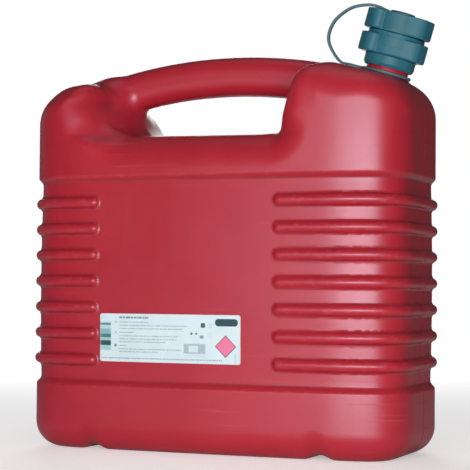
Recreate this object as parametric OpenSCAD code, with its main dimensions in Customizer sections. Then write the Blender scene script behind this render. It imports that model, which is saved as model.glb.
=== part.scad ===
// Jerry can of blow-moulded polyethylene, about 20 litres, with a moulded
// handle, a tilted neck, a union nut, a screw cap, a tethered cap strap and a
// corrugated pouring spout stored inside the tank.
// Millimetres. +Z up, +X from the handle's tail towards the neck, -Y is the
// labelled front. The origin is the middle of the base, on the ground.

/* [Tank] */
// Width over the plain bands above and below the ribs
tank_w = 402; // [396:1:408]
// Depth over the plain bands
tank_d = 176; // [172:1:180]
// Radius of the four upright corners
corner_r = 50; // [46:1:52]
// Radius of the edge round the base
base_r = 27; // [22:1:30]
// Height of the sill under the hand hole
sill_z = 319; // [315:1:322]
// Radius along the front and back edges of the sill
sill_r = 36; // [30:1:36]
// Wall thickness of the blow-moulded shell
wall = 2.8; // [2.2:0.1:3.2]

/* [Ribs and recess] */
// Depth of the recessed band that carries the ribs
recess = 4; // [3:0.5:4.5]
// Height of the recess's lower step
recess_z0 = 66; // [62:1:70]
// Height of the recess's upper step
recess_z1 = 276; // [274:1:278]
// Number of ribs at each end
rib_n = 7; // [3:1:7]
// Height of the top rib
rib_top_z = 250; // [246:1:252]
// Distance from rib to rib
rib_pitch = 26.46; // [24:0.01:26.5]
// Radius of a rib's half-round section
rib_r = 5.5; // [4.5:0.1:5.8]
// Where the ribs of the handle-tail end stop, across the front
rib_x_left = -119.6; // [-130:0.1:-110]
// Where the ribs of the neck end stop, across the front
rib_x_right = 80.4; // [70:0.1:90]

/* [Handle] */
// Height of the top of the handle at its middle
handle_top_z = 403.3; // [400:0.1:406]
// Radius of the handle's arch along its top
handle_arch_r = 529; // [500:1:560]
// Thickness of the handle, top to underside
handle_h = 40; // [36:0.5:42]
// Depth of the handle, front to back
handle_d = 38; // [34:0.5:42]
// Position of the highest point of the arch
handle_x = -14.7; // [-20:0.1:-10]

/* [Neck and threads] */
// Position of the neck's axis where it leaves the head
neck_x = 160.3; // [156:0.1:162]
// Height of the head's top on the neck's axis
neck_z = 375.5; // [374:0.1:377]
// Tilt of the neck towards +X
neck_tilt = 16; // [14:0.5:17]
// Outside radius of the neck between its threads
neck_r = 20.5; // [20:0.1:21]
// Pitch of the union nut's thread
nut_pitch = 5; // [4.5:0.5:5]
// Pitch of the cap's thread
cap_pitch = 4; // [3.5:0.5:4]

/* [Closure] */
// Radius over the grip lobes of nut and cap
lobe_r = 35; // [33:0.5:36]
// Width of one grip lobe
lobe_w = 25; // [20:0.5:27]
// Number of grip lobes
lobe_n = 3; // [3:1:4]
// Radius of nut and cap between the lobes
grip_r = 28.9; // [28:0.1:30]

/* [Spout] */
// Number of corrugations on the spout's hose
hose_n = 26; // [18:1:28]
// Outside radius of the hose over its corrugations
hose_r = 13.4; // [12.5:0.1:14]

/* [Hidden] */

$fn = 96;
hx = tank_w / 2 - corner_r;
hy = tank_d / 2 - corner_r;
head_slope = 15;            // fall of the head's top towards +X
tail_slope = 8.5;           // rise of the tail's top towards the handle

// Closure heights along the neck's axis, from the head's top
t_boss = 2.4;      // top of the raised boss round the neck
t_ring = 2.6;      // underside of the tether ring
ring_th = 2.9;
t_rim = 31;        // neck's rim
t_skirt = 9;       // bottom of the nut's skirt
t_lobe0 = 20.3;    // nut's lobes
t_lobe1 = 39.2;
t_band = 42.9;     // top of the nut's upper band
t_cap0 = 43.6;     // cap
t_cap1 = 63.6;
t_shoulder = 34.4; // underside of the nut's inner shoulder
t_stub = 57.9;     // top of the nut's threaded stub

// ---- helpers ----
function dirv(a) = [cos(a), sin(a)];
// An anticlockwise outline [x, y, corner radius], moved inwards by o.
function edge_n(p, q) = let (d = [q[0] - p[0], q[1] - p[1]], l = norm(d))
  [-d[1] / l, d[0] / l];
function line_x(p, n, q, m) = // meeting point of two lines, each point and normal
  let (c1 = p[0] * n[0] + p[1] * n[1], c2 = q[0] * m[0] + q[1] * m[1],
       det = n[0] * m[1] - n[1] * m[0])
  [(c1 * m[1] - c2 * n[1]) / det, (n[0] * c2 - m[0] * c1) / det];
function inset_pt(P, i, o) = let (k = len(P), a = P[(i + k - 1) % k], b = P[i],
    c = P[(i + 1) % k], n1 = edge_n(a, b), n2 = edge_n(b, c),
    turn = n1[0] * n2[1] - n1[1] * n2[0],
    v = line_x([b[0] + n1[0] * o, b[1] + n1[1] * o], n1,
               [b[0] + n2[0] * o, b[1] + n2[1] * o], n2))
  [v[0], v[1], b[2] == 0 ? 0 : (turn > 0 ? max(b[2] - o, 0.5) : b[2] + o)];
function inset(P, o) = [for (i = [0 : len(P) - 1]) inset_pt(P, i, o)];
// Points of an outline with its corners rounded.
function arc_pts(a, b, c, r, n) =
  let (u = [a[0] - b[0], a[1] - b[1]] / norm([a[0] - b[0], a[1] - b[1]]),
       v = [c[0] - b[0], c[1] - b[1]] / norm([c[0] - b[0], c[1] - b[1]]),
       half = acos(u * v) / 2, l = r / tan(half),
       w = (u + v) / norm(u + v), m = [b[0], b[1]] + w * (r / sin(half)),
       p = [b[0], b[1]] + u * l, q = [b[0], b[1]] + v * l,
       a0 = atan2(p[1] - m[1], p[0] - m[0]), a1 = atan2(q[1] - m[1], q[0] - m[0]),
       da = ((a1 - a0 + 540) % 360) - 180)
  [for (i = [0 : n]) m + r * dirv(a0 + da * i / n)];
function rounded(P, n = 8) = [for (i = [0 : len(P) - 1])
  let (k = len(P), a = P[(i + k - 1) % k], b = P[i], c = P[(i + 1) % k])
  each (b[2] == 0 ? [[b[0], b[1]]] : arc_pts(a, b, c, b[2], n))];

// A block of rounded plan whose side follows a profile of [r, z], with r
// measured from the corners' upright axes.
module profile_block(P) {
  for (sx = [-1, 1], sy = [-1, 1])
    translate([sx * hx, sy * hy, 0])
      rotate([0, 0, sx > 0 ? (sy > 0 ? 0 : 270) : (sy > 0 ? 90 : 180)])
        rotate_extrude(angle = 90) polygon(concat([[0, P[0][1]]], P, [[0, P[len(P) - 1][1]]]));
  rotate([90, 0, 0]) linear_extrude(height = 2 * hy, center = true)
    polygon(concat([for (p = P) [hx + p[0], p[1]]],
      [for (i = [len(P) - 1 : -1 : 0]) [-hx - P[i][0], P[i][1]]]));
  rotate([90, 0, 90]) linear_extrude(height = 2 * hx, center = true)
    polygon(concat([for (p = P) [hy + p[0], p[1]]],
      [for (i = [len(P) - 1 : -1 : 0]) [-hy - P[i][0], P[i][1]]]));
}
function side_profile(o) = concat(
  [for (i = [0 : 6]) [corner_r - base_r, base_r] + (base_r - o) * [sin(i * 15), -cos(i * 15)]],
  [[corner_r - o, recess_z0 - 0.4 * o], [corner_r - recess - o, recess_z0 + 5 - 0.4 * o],
   [corner_r - recess - o, recess_z1 - 5 + 0.4 * o], [corner_r - o, recess_z1 + 0.4 * o],
   [corner_r - o, 420]]);

// Everything above the can's outline from the front, moved in by o: the tail's
// top, the hand hole's open space and the head's top.
function tail_line(x) = 376.4 + (x + 158.4) * tan(tail_slope);
function head_line(x) = neck_z - (x - neck_x) * tan(head_slope);
function sky_outline() = [
  [-tank_w / 2, 200, 0], [tank_w / 2, 200, 0],
  [tank_w / 2, head_line(tank_w / 2), 38], [92.8, head_line(92.8), 30], [66, sill_z, 18],
  [-104, sill_z, 22], [-122, tail_line(-122), 20], [-tank_w / 2, tail_line(-tank_w / 2), 32]];
module sky(o) {
  P = rounded(inset(sky_outline(), o), 6);
  // the first two points are the outline's foot, inside the block
  n = len(P) - 1;
  rotate([90, 0, 0]) linear_extrude(height = 300, center = true)
    polygon(concat([[300, 450], [300, P[2][1]]], [for (i = [2 : n]) P[i]], [[-300, P[n][1]], [-300, 450]]));
}
// What a rounding of radius r takes off the front and back top edges of a
// length whose top line runs through [x, z] at a slope.
module edge_cut(x, z, slope, x0, x1, r, o) {
  b = tank_d / 2 - o;
  q = r - o;
  for (s = [-1, 1]) translate([x, 0, z]) rotate([0, -slope, 0]) translate([x0 - x, 0, 0])
    rotate([90, 0, 90]) linear_extrude(height = x1 - x0)
      polygon(concat([for (i = [0 : 6]) [s * (b - q + q * cos(i * 15)), -o - q + q * sin(i * 15)]],
        [[s * (b - q), 20], [s * (b + 20), 20], [s * (b + 20), -o - q]]));
}
module block(o) {
  difference() {
    profile_block(side_profile(o));
    sky(o);
    edge_cut(-158.4, 376.4, tail_slope, -260, -75, sill_r, o);
    edge_cut(neck_x, neck_z, -head_slope, 50, 260, sill_r, o);
    edge_cut(0, sill_z, 0, -104 + o, 66 - o, sill_r, o);
  }
}
// Arched handle bar, from deep in the tail to inside the head.
module handle_bar(o) {
  r0 = handle_arch_r - handle_h + o;
  r1 = handle_arch_r - o;
  c = 16 - o;
  translate([handle_x, 0, handle_top_z - handle_arch_r])
    rotate([90, 0, 0]) rotate([0, 0, 90 - 13.4])
      rotate_extrude(angle = 13.4 + 19.2, $fn = 360) {
        translate([r0, -handle_d / 2 + o + c]) square([r1 - r0, handle_d - 2 * o - 2 * c]);
        translate([r0 + c, -handle_d / 2 + o]) square([r1 - r0 - 2 * c, handle_d - 2 * o]);
        for (x = [r0 + c, r1 - c], y = [-1, 1])
          translate([x, y * (handle_d / 2 - o - c)]) circle(r = c, $fn = 48);
      }
}
// The ribs of one end: half-round beads that run along the front, round the
// end and along the back.
module rib_circles() {
  for (i = [0 : rib_n - 1])
    translate([corner_r - recess + 0.5, rib_top_z - i * rib_pitch]) circle(r = rib_r, $fn = 32);
}
module ribs(s, x_end) {
  rc = corner_r - recess + 0.5;
  for (sy = [-1, 1]) {
    translate([s * hx, sy * hy, 0])
      rotate([0, 0, s > 0 ? (sy > 0 ? 0 : 270) : (sy > 0 ? 90 : 180)])
        rotate_extrude(angle = 90) rib_circles();
    for (i = [0 : rib_n - 1])
      translate([s * hx, sy * (hy + rc), rib_top_z - i * rib_pitch]) {
        rotate([0, s > 0 ? -90 : 90, 0])
          cylinder(r = rib_r, h = abs(s * hx - x_end), $fn = 32);
      }
  }
  for (i = [0 : rib_n - 1])
    translate([s * (hx + rc), 0, rib_top_z - i * rib_pitch])
      rotate([90, 0, 0]) cylinder(r = rib_r, h = 2 * hy, center = true, $fn = 32);
}
// Neck frame: places children along the neck's axis.
module at_neck() {
  translate([neck_x, 0, neck_z]) rotate([0, neck_tilt, 0]) children();
}
// Shallow grooves across the base.
module base_groove(x, h, w) {
  translate([x, 0, 0]) rotate([90, 0, 0]) linear_extrude(height = 300, center = true)
    polygon([[-w - 2, -2], [w + 2, -2], [w, 0], [3, h - 0.6], [1, h], [-1, h], [-3, h - 0.6], [-w, 0]]);
}

// One turn-by-turn screw ridge, a swept trapezium that fades at both ends.
// rb is the buried radius, rt the tip radius, z0 and z1 its ends.
function ridge_ring(a, z, rb, rt, wb, wt, f) = let (rr = rb + (rt - rb) * f)
  [[rb * cos(a), rb * sin(a), z - wb / 2], [rr * cos(a), rr * sin(a), z - wt / 2],
   [rr * cos(a), rr * sin(a), z + wt / 2], [rb * cos(a), rb * sin(a), z + wb / 2]];
module ridge(rb, rt, z0, z1, pitch, wb, wt, phase) {
  seg = 20;
  n = round((z1 - z0) / pitch * seg);
  pts = [for (i = [0 : n]) let (f = min(1, (0.35 + i / 8), (0.35 + (n - i) / 8)))
    each ridge_ring(phase + i * 360 / seg, z0 + i * pitch / seg, rb, rt, wb, wt, f)];
  in = rt < rb; // internal ridge: tip inside its root
  sides = [for (i = [0 : n - 1], j = [0 : 3]) let (k = (j + 1) % 4)
    in ? [4 * i + j, 4 * (i + 1) + j, 4 * (i + 1) + k, 4 * i + k]
       : [4 * i + j, 4 * i + k, 4 * (i + 1) + k, 4 * (i + 1) + j]];
  ends = in ? [[0, 1, 2, 3], [4 * n + 3, 4 * n + 2, 4 * n + 1, 4 * n]]
            : [[3, 2, 1, 0], [4 * n, 4 * n + 1, 4 * n + 2, 4 * n + 3]];
  polyhedron(points = pts, faces = concat(sides, ends), convexity = 8);
}

// ---- pieces ----
module tank_shell() {
  color([0.69, 0.10, 0.12]) difference() {
    union() {
      block(0);
      ribs(-1, rib_x_left);
      ribs(1, rib_x_right);
      handle_bar(0);
      at_neck() {
        translate([0, 0, -9]) cylinder(r = 24, h = 9 + t_boss);
        translate([0, 0, -9]) cylinder(r = neck_r, h = 9 + t_rim);
        ridge(neck_r - 0.7, neck_r + 1.8, 12, 27, nut_pitch, 3.6, 1.1, 0);
      }
    }
    difference() {
      union() {
        block(wall);
        handle_bar(wall);
      }
      for (x = [-125, 116.3]) base_groove(x, 7.4, 14);
    }
    for (x = [-125, 116.3]) base_groove(x, 4.4, 11);
    at_neck() translate([0, 0, -16]) cylinder(r = neck_r - 3, h = 60);
  }
}
module info_label() {
  y = tank_d / 2 - recess;
  color([0.9, 0.9, 0.88]) translate([-110.7, -y - 0.25, 90.2]) cube([152.4, 0.25, 48]);
}
module lobed(r, n, w) {
  circle(r = grip_r);
  for (i = [0 : n - 1]) rotate(106 + i * 360 / n) {
    translate([0, -w / 2 + 4]) square([r, w - 8]);
    translate([0, -w / 2]) square([r - 4, w]);
    for (s = [-1, 1]) translate([r - 4, s * (w / 2 - 4)]) circle(r = 4, $fn = 32);
  }
}
module union_nut() {
  color([0.10, 0.33, 0.38]) at_neck() difference() {
    union() {
      translate([0, 0, t_skirt]) cylinder(r1 = 23.9, r2 = 25.65, h = 3);
      translate([0, 0, t_skirt + 3]) cylinder(r = 25.65, h = t_lobe0 - t_skirt - 2);
      translate([0, 0, t_lobe0]) linear_extrude(height = t_lobe1 - t_lobe0) lobed(lobe_r, lobe_n, lobe_w);
      translate([0, 0, t_lobe1 - 1]) cylinder(r = 28.6, h = t_band - t_lobe1 + 1);
      translate([0, 0, t_band - 1]) cylinder(r = 18.6, h = t_stub - t_band + 1);
      ridge(17.9, 20.2, 46.5, 54.5, cap_pitch, 3.0, 0.9, 0);
    }
    difference() {
      translate([0, 0, t_skirt - 1]) cylinder(r = neck_r + 2.4, h = t_shoulder - t_skirt + 1);
      ridge(neck_r + 3.2, neck_r + 0.6, 12 + nut_pitch / 2, 27 + nut_pitch / 2, nut_pitch, 3.6, 1.1, 0);
    }
    translate([0, 0, t_shoulder - 1]) cylinder(r = 15.4, h = 40);
  }
}
module screw_cap() {
  color([0.12, 0.37, 0.42]) at_neck() difference() {
    union() {
      translate([0, 0, t_cap0]) linear_extrude(height = t_cap1 - t_cap0) lobed(lobe_r, lobe_n, lobe_w);
      translate([0, 0, t_cap1 - 1]) cylinder(r = 3.4, h = 3.3);
      translate([0, 0, t_cap1 + 2.2]) cylinder(r1 = 13, r2 = 9, h = 1.4);
    }
    difference() {
      translate([0, 0, t_cap0 - 1]) cylinder(r = 20.8, h = 60.6 - t_cap0 + 1);
      ridge(21.6, 19.2, 46.5 + cap_pitch / 2, 54.5 + cap_pitch / 2, cap_pitch, 3.0, 0.9, 0);
    }
  }
}
module washer(r0, r1, t, h) {
  at_neck() translate([0, 0, t]) difference() {
    cylinder(r = r1, h = h);
    translate([0, 0, -1]) cylinder(r = r0, h = h + 2);
  }
}
module cap_gasket() {
  color([0.08, 0.08, 0.08]) washer(15.6, 18.9, t_stub + 0.1, 2.4);
}
module neck_gasket() {
  color([0.08, 0.08, 0.08]) washer(16.2, 20.2, t_rim + 0.1, 1.5);
}
module spout_flange() {
  color([0.07, 0.07, 0.08]) at_neck() difference() {
    union() {
      translate([0, 0, t_rim + 1.6]) cylinder(r = 22.2, h = 1.7);
      translate([0, 0, 20]) cylinder(r = 13.2, h = t_rim + 1.6 - 20);
    }
    translate([0, 0, 19]) cylinder(r = 10.2, h = 30);
  }
}
// Hose: rings of a rounded wave with a plain bore, from the flange's hub down.
module spout_hose() {
  step = 156 / hose_n;
  d = hose_r - 1.9;
  color([0.07, 0.07, 0.08]) at_neck() rotate_extrude()
    polygon(concat([[9.6, 20], [9.6, -136]],
      [for (i = [0 : hose_n - 1]) each let (z = -136 + i * step)
        [[d, z], [d, z + step * 0.22], [hose_r, z + step * 0.38], [hose_r, z + step * 0.78], [d, z + step * 0.94]]],
      [[d, 20]]));
}
module spout_nozzle() {
  color([0.07, 0.07, 0.08]) at_neck() rotate_extrude()
    polygon([[9.2, -136], [9.2, -150], [8.4, -184], [10.2, -184], [10.6, -182.5],
      [11.4, -152], [13.6, -150], [13.6, -146], [12.2, -144.5], [12.2, -136]]);
}
module tether_ring() {
  color([0.16, 0.36, 0.40]) at_neck() translate([0, 0, t_ring]) difference() {
    union() {
      cylinder(r = 25.4, h = ring_th);
      translate([-44, -3.6, 0]) cube([22, 7.2, ring_th]);
    }
    translate([0, 0, -1]) cylinder(r = 23.2, h = ring_th + 2);
  }
}
// Strap: a flat band swept along a smooth curve through these points of the
// plane of the neck's axis, [across, along].
strap_pts = [[-44, 3.9], [-50.5, 4.9], [-59.5, 11.3], [-68, 21.5], [-70, 33], [-66, 46.3],
  [-53.5, 60], [-37, 66.6], [-25, 66.9], [-16, 65.1]];
strap_w = 4.6;
strap_th = 2.4;
function cr(a, b, c, d, u) = 0.5 * (2 * b + (c - a) * u + (2 * a - 5 * b + 4 * c - d) * u * u
  + (3 * b - a - 3 * c + d) * u * u * u);
strap_ext = concat([[-37, 3.9]], strap_pts, [[-7, 65.1]]);
strap_run = concat([for (i = [1 : len(strap_ext) - 3], j = [0 : 3])
  cr(strap_ext[i - 1], strap_ext[i], strap_ext[i + 1], strap_ext[i + 2], j / 4)], [strap_pts[len(strap_pts) - 1]]);
module tether_strap() {
  n = len(strap_run);
  pts = [for (i = [0 : n - 1]) let (
      a = strap_run[max(i - 1, 0)], b = strap_run[min(i + 1, n - 1)],
      d = (i == 0 || i == n - 1) ? [1, 0] : (b - a) / norm(b - a),
      m = [-d[1], d[0]] * strap_th / 2, p = strap_run[i])
    each [[p[0] + m[0], -strap_w / 2, p[1] + m[1]], [p[0] + m[0], strap_w / 2, p[1] + m[1]],
          [p[0] - m[0], strap_w / 2, p[1] - m[1]], [p[0] - m[0], -strap_w / 2, p[1] - m[1]]]];
  color([0.16, 0.36, 0.40]) at_neck() polyhedron(points = pts, faces = concat(
    [for (i = [0 : n - 2], j = [0 : 3]) let (k = (j + 1) % 4)
      [4 * i + j, 4 * (i + 1) + j, 4 * (i + 1) + k, 4 * i + k]],
    [[0, 1, 2, 3], [4 * n - 1, 4 * n - 2, 4 * n - 3, 4 * n - 4]]), convexity = 6);
}
module tether_eyelet() {
  color([0.16, 0.36, 0.40]) at_neck() translate([0, 0, t_cap1 + 0.15]) difference() {
    union() {
      cylinder(r = 8, h = 1.9);
      translate([-16, -2.9, 0]) cube([13, 5.8, 1.9]);
    }
    translate([0, 0, -1]) cylinder(r = 3.8, h = 4);
  }
}

tank_shell();
info_label();
union_nut();
screw_cap();
cap_gasket();
neck_gasket();
spout_flange();
spout_hose();
spout_nozzle();
tether_ring();
tether_strap();
tether_eyelet();
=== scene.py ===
import math
import bpy
import numpy as np
from mathutils import Matrix, Vector


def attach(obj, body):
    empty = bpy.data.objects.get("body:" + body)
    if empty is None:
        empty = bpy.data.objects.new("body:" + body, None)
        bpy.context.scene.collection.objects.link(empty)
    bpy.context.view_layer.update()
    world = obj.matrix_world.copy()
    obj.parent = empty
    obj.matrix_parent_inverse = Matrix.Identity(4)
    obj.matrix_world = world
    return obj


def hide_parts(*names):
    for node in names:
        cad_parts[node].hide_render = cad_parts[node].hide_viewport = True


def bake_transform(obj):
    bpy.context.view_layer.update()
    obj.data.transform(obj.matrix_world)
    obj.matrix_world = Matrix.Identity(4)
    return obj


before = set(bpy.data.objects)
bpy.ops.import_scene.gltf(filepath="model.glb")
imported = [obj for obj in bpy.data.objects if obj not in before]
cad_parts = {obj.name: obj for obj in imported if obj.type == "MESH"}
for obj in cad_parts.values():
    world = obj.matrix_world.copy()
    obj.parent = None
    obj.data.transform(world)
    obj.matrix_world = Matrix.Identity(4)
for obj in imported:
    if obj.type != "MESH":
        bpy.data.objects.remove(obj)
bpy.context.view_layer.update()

scene = bpy.context.scene

# ---------------------------------------------------------------- distance helpers, in millimetres
def rmax(a, b, r):
    """Intersection of two solids with a round of radius r on the edge."""
    return np.minimum(np.maximum(a, b), -r) + np.hypot(np.maximum(a + r, 0), np.maximum(b + r, 0))

def rmin(a, b, r):
    """Union of two solids with a fillet of radius r in the corner."""
    return -rmax(-a, -b, r)

def smin(a, b, k):
    h = np.clip(0.5 + 0.5 * (b - a) / k, 0, 1)
    return b + (a - b) * h - k * h * (1 - h)

def step(t):
    t = np.clip(t, 0, 1)
    return t * t * (3 - 2 * t)

def rrect(x, y, hx, hy, r):
    qx, qy = np.abs(x) - (hx - r), np.abs(y) - (hy - r)
    return np.hypot(np.maximum(qx, 0), np.maximum(qy, 0)) + np.minimum(np.maximum(qx, qy), 0) - r

def rounded(P, n=10):
    """Corners [x, z, radius] to a polyline with arcs."""
    out = []
    k = len(P)
    for i in range(k):
        a, b, c = (np.array(P[j % k][:2], float) for j in (i - 1, i, i + 1))
        r = P[i][2]
        if r == 0:
            out.append(b)
            continue
        u = (a - b) / np.linalg.norm(a - b)
        v = (c - b) / np.linalg.norm(c - b)
        half = np.arccos(np.clip(u @ v, -1, 1)) / 2
        l = r / np.tan(half)
        m = b + (u + v) / np.linalg.norm(u + v) * (r / np.sin(half))
        p, q = b + u * l, b + v * l
        a0, a1 = np.arctan2(*(p - m)[::-1]), np.arctan2(*(q - m)[::-1])
        da = (a1 - a0 + 3 * np.pi) % (2 * np.pi) - np.pi
        for j in range(n + 1):
            t = a0 + da * j / n
            out.append(m + r * np.array([np.cos(t), np.sin(t)]))
    return np.array(out)

def poly_sdf(P, x, z):
    best = np.full(x.shape, 1e9)
    inside = np.zeros(x.shape, bool)
    for i in range(len(P)):
        a, b = P[i], P[(i + 1) % len(P)]
        ex, ez = b - a
        wx, wz = x - a[0], z - a[1]
        t = np.clip((wx * ex + wz * ez) / (ex * ex + ez * ez), 0, 1)
        best = np.minimum(best, (wx - t * ex) ** 2 + (wz - t * ez) ** 2)
        c = (a[1] <= z) != (b[1] <= z)
        if ez != 0:
            inside ^= c & (x < a[0] + (z - a[1]) * ex / ez)
    d = np.sqrt(best)
    return np.where(inside, -d, d)

class Table:
    """A function of the front plane, held on a grid."""
    def __init__(s, f, x0, x1, z0, z1, h):
        s.x0, s.z0, s.h = x0, z0, h
        s.nx, s.nz = int((x1 - x0) / h) + 2, int((z1 - z0) / h) + 2
        gx, gz = np.meshgrid(x0 + h * np.arange(s.nx), z0 + h * np.arange(s.nz), indexing="ij")
        s.t = f(gx, gz)
    def __call__(s, x, z):
        fx = np.clip((x - s.x0) / s.h, 0, s.nx - 1.001)
        fz = np.clip((z - s.z0) / s.h, 0, s.nz - 1.001)
        i, j = fx.astype(int), fz.astype(int)
        fx, fz = fx - i, fz - j
        t = s.t
        return (t[i, j] * (1 - fx) + t[i + 1, j] * fx) * (1 - fz) + (t[i, j + 1] * (1 - fx) + t[i + 1, j + 1] * fx) * fz

def axis(lo, hi, h, finer=()):
    """Grid planes from lo to hi, h apart, and closer inside each (from, to, step)."""
    out = [lo]
    while out[-1] < hi:
        s = h
        for a, b, f in finer:
            if a <= out[-1] + 1e-6 < b:
                s = min(s, f)
        nxt = out[-1] + s
        for a, b, f in finer:
            if out[-1] < a - 1e-6 < nxt:
                nxt = a
        out.append(nxt)
    return np.array(out)

CORNERS = [(i, j, k) for i in (0, 1) for j in (0, 1) for k in (0, 1)]

def gradient(f, V, e=0.2):
    x, y, z = V.T
    return np.stack([f(x + e, y, z) - f(x - e, y, z), f(x, y + e, z) - f(x, y - e, z),
                     f(x, y, z + e) - f(x, y, z - e)], 1) / (2 * e)

def nets(f, ax, rounds=4):
    """Quad mesh of the surface f = 0 on the grid planes ax, with its points pulled onto the surface."""
    n = [len(a) for a in ax]
    F = np.empty(n, np.float32)
    for i in range(0, n[0], 16):
        F[i:i + 16] = f(*np.meshgrid(ax[0][i:i + 16], ax[1], ax[2], indexing="ij"))
    S = F < 0
    cnt = sum(S[i:n[0] - 1 + i, j:n[1] - 1 + j, k:n[2] - 1 + k].astype(np.int8) for i, j, k in CORNERS)
    act = (cnt > 0) & (cnt < 8)
    I = np.argwhere(act)
    idx = np.full(act.shape, -1, np.int64)
    idx[act] = np.arange(len(I))
    val = {q: F[I[:, 0] + q[0], I[:, 1] + q[1], I[:, 2] + q[2]].astype(float) for q in CORNERS}
    acc, num = np.zeros((len(I), 3)), np.zeros(len(I))
    for a in CORNERS:
        for d in range(3):
            if a[d]:
                continue
            b = list(a)
            b[d] = 1
            fa, fb = val[a], val[tuple(b)]
            m = (fa < 0) != (fb < 0)
            t = np.where(m, fa / np.where(m, fa - fb, 1), 0)
            p = np.array(a, float)[None] + t[:, None] * (np.array(b) - np.array(a))[None]
            acc += np.where(m[:, None], p, 0)
            num += m
    frac = acc / num[:, None]
    low = np.stack([ax[d][I[:, d]] for d in range(3)], 1)
    size = np.stack([ax[d][I[:, d] + 1] - ax[d][I[:, d]] for d in range(3)], 1)
    V = low + frac * size
    cap = size.min(1)
    for _ in range(rounds):
        d = f(*V.T)
        g = gradient(f, V)
        s = d[:, None] * g / np.maximum((g * g).sum(1), 0.2)[:, None]
        l = np.linalg.norm(s, axis=1)
        V = V - s * np.minimum(1, 0.5 * cap / np.maximum(l, 1e-9))[:, None]
    quads = []
    for d in range(3):
        u, w = (d + 1) % 3, (d + 2) % 3
        s0, s1 = [slice(None)] * 3, [slice(None)] * 3
        s0[d], s1[d] = slice(0, n[d] - 1), slice(1, n[d])
        A, B = S[tuple(s0)], S[tuple(s1)]
        E = np.argwhere(A != B)
        E = E[(E[:, u] > 0) & (E[:, w] > 0) & (E[:, u] < n[u] - 1) & (E[:, w] < n[w] - 1)]
        def at(du, dw):
            q = E.copy()
            q[:, u] += du
            q[:, w] += dw
            return idx[q[:, 0], q[:, 1], q[:, 2]]
        q = np.stack([at(-1, -1), at(0, -1), at(0, 0), at(-1, 0)], 1)
        flip = ~A[E[:, 0], E[:, 1], E[:, 2]]
        q[flip] = q[flip][:, ::-1]
        quads.append(q)
    return V, np.concatenate(quads)

def mesh_of(name, V, Q):
    """Blender mesh from points in millimetres and quads."""
    me = bpy.data.meshes.new(name)
    me.vertices.add(len(V))
    me.vertices.foreach_set("co", (np.asarray(V, np.float64) * 0.001).astype(np.float32).ravel())
    me.loops.add(Q.size)
    me.loops.foreach_set("vertex_index", Q.astype(np.int32).ravel())
    me.polygons.add(len(Q))
    me.polygons.foreach_set("loop_start", (np.arange(len(Q)) * Q.shape[1]).astype(np.int32))
    me.update(calc_edges=True)
    me.validate()
    return me

def piece(name, me, body, mat, slot_name, *nodes):
    ob = bpy.data.objects.new(name, me)
    scene.collection.objects.link(ob)
    me.materials.clear()
    me.materials.append(mat)
    if body:
        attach(ob, body)
    if nodes:
        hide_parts(*nodes)
    return ob

def smooth(me, angle=None):
    me.polygons.foreach_set("use_smooth", np.ones(len(me.polygons), bool))
    if angle is not None:
        me.set_sharp_from_angle(angle=math.radians(angle))

def points(me):
    co = np.empty(len(me.vertices) * 3, np.float32)
    me.vertices.foreach_get("co", co)
    return co.reshape(-1, 3).astype(float) * 1000

def unit(v):
    return v / np.maximum(np.linalg.norm(v, axis=1), 1e-9)[:, None]

def exact_normals(me, f, near=0.03, angle=40):
    """Corner normals from the distance function where a point lies on it, and from the mesh elsewhere."""
    smooth(me, angle)
    V = points(me)
    on = np.abs(f(*V.T)) < near
    x, y, z = V.T
    e, ey = 0.8, 0.15
    N = unit(np.stack([(f(x + e, y, z) - f(x - e, y, z)) / e, (f(x, y + ey, z) - f(x, y - ey, z)) / ey,
                       (f(x, y, z + e) - f(x, y, z - e)) / e], 1))
    li = np.empty(len(me.loops), np.int32)
    me.loops.foreach_get("vertex_index", li)
    cn = np.empty(len(me.loops) * 3, np.float32)
    me.corner_normals.foreach_get("vector", cn)
    cn = cn.reshape(-1, 3)
    fn = np.empty(len(me.polygons) * 3, np.float32)
    me.polygon_normals.foreach_get("vector", fn)
    tot = np.empty(len(me.polygons), np.int32)
    me.polygons.foreach_get("loop_total", tot)
    face_n = np.repeat(fn.reshape(-1, 3), tot, axis=0)
    use = on[li] & ((N[li] * face_n).sum(1) > 0.6)
    out = np.where(use[:, None], N[li], cn)
    me.normals_split_custom_set(out.astype(np.float32))

def scalar(me, name, values):
    at = me.attributes.new(name, "FLOAT", "POINT")
    at.data.foreach_set("value", np.asarray(values, np.float32))

# ---------------------------------------------------------------- the can's shape, in millimetres
W2, D2 = 201.7, 88.0
NX, NZ, TILT = 160.3, 375.5, np.radians(16)

def tail_z(x):
    return 379.1 + (x + 140) * np.tan(np.radians(12.5))

def head_z(x):
    return NZ - (x - NX) * np.tan(np.radians(15))

OUTLINE = rounded([(-300, -100, 0), (300, -100, 0), (300, head_z(300), 0), (95.0, head_z(95.0), 34),
                   (72.0, 316.4, 8), (-106, 318.6, 24), (-123.5, tail_z(-123.5), 22), (-300, tail_z(-300), 0)], 12)
OUT = Table(lambda x, z: poly_sdf(OUTLINE, x, z), -215, 225, -15, 425, 1.0)
RIB_Z, RIB_P, RIB_N = 250.0, 26.46, 7
RIB_X0, RIB_X1 = -119.6, 80.4

def recess(z):
    up = step((z - 64.8) / 7.0) * step((277.2 - z) / 7.0)
    return up * (4.5 - 1.3 * np.clip(1 - ((z - 171) / 95) ** 2, 0, 1))

def groove(x):
    h = 0
    for g in (-125.0, 116.3):
        h = h + 4.7 * np.cos(np.clip(np.abs(x - g) / 15.5, 0, 1) * np.pi / 2) ** 1.6
    return h

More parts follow.
